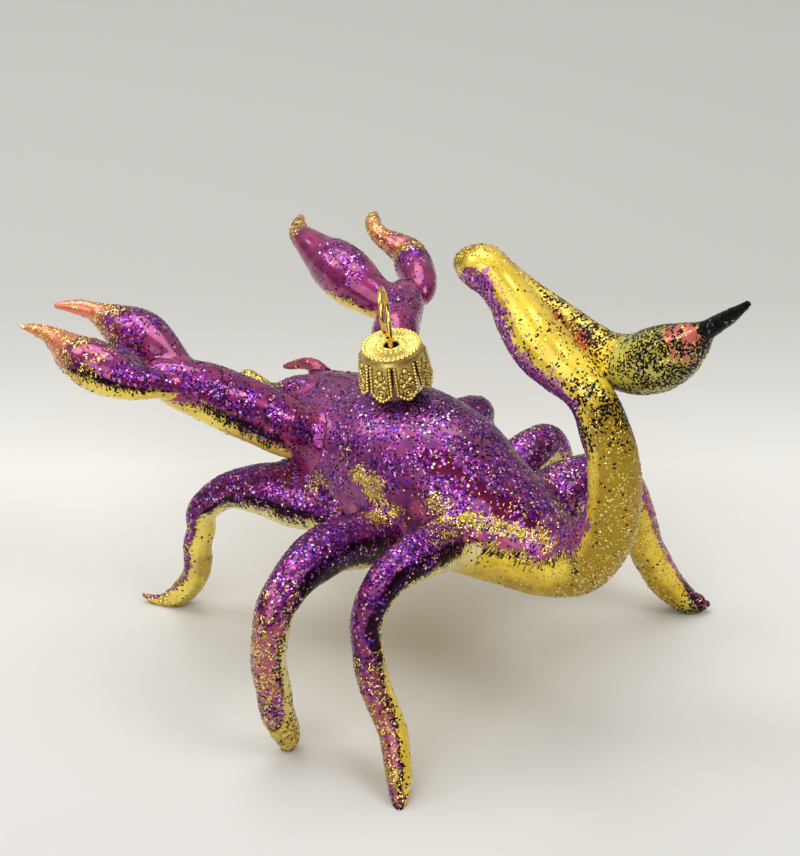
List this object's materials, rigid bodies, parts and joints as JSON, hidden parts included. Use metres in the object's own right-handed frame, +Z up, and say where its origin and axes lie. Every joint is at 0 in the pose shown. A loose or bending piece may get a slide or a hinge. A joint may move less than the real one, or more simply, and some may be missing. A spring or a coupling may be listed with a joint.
{
  "type": "hanging glass scorpion ornament",
  "caption": "Hollow blown glass scorpion with drawn legs, claws and a tail curled over its back, lacquered and glittered, with a stamped crown cap and a wire hanging loop.",
  "frame": {"origin": "middle of the bounding box, on the plane the feet stand on", "axes": "+X from head to tail, +Y to the right side of the animal, +Z up"},
  "size_m": [0.1239, 0.0942, 0.0875],
  "materials": {
    "body_lacquer": "magenta and purple lacquer over silvered glass, yellow belly, purple and gold glitter",
    "neck_glass": "bare silvered glass",
    "leg_lacquer": "purple lacquer with glitter, yellow underside",
    "claw_lacquer": "magenta lacquer with glitter, yellow underside, gold tips",
    "fang_lacquer": "pink and gold lacquer",
    "tail_lacquer": "yellow gold lacquer with black and gold glitter, purple inner edge",
    "sting_lacquer": "olive gold lacquer with dense black glitter",
    "sting_black": "black glitter",
    "cap_gold": "stamped, antique gold",
    "wire_gold": "polished gold wire"
  },
  "bodies": {
    "glass": {"body_shell": "body_lacquer", "neck": "neck_glass", "leg_front_left": "leg_lacquer", "leg_middle_left": "leg_lacquer", "leg_rear_left": "leg_lacquer", "leg_front_right": "leg_lacquer", "leg_middle_right": "leg_lacquer", "leg_rear_right": "leg_lacquer", "arm_left": "claw_lacquer", "arm_right": "claw_lacquer", "finger_outer_left": "claw_lacquer", "finger_inner_left": "claw_lacquer", "finger_outer_right": "claw_lacquer", "finger_inner_right": "claw_lacquer", "fang_left": "fang_lacquer", "fang_right": "fang_lacquer", "tail_stem": "tail_lacquer", "tail_return": "tail_lacquer", "sting_bulb": "sting_lacquer", "sting_tip": "sting_black"},
    "cap": {"cap": "cap_gold"},
    "hanger": {"hanger_wire": "wire_gold"}
  },
  "joints": [
    {"name": "cap_lift", "type": "slide", "parent": "glass", "child": "cap", "axis": [-0.0346, -0.1392, 0.9897], "range_m": [0, 0.02]},
    {"name": "hanger_swivel", "type": "hinge", "parent": "cap", "child": "hanger", "pos_m": [-0.00562, 0.00121, 0.059], "axis": [-0.0346, -0.1392, 0.9897], "continuous": true}
  ]
}
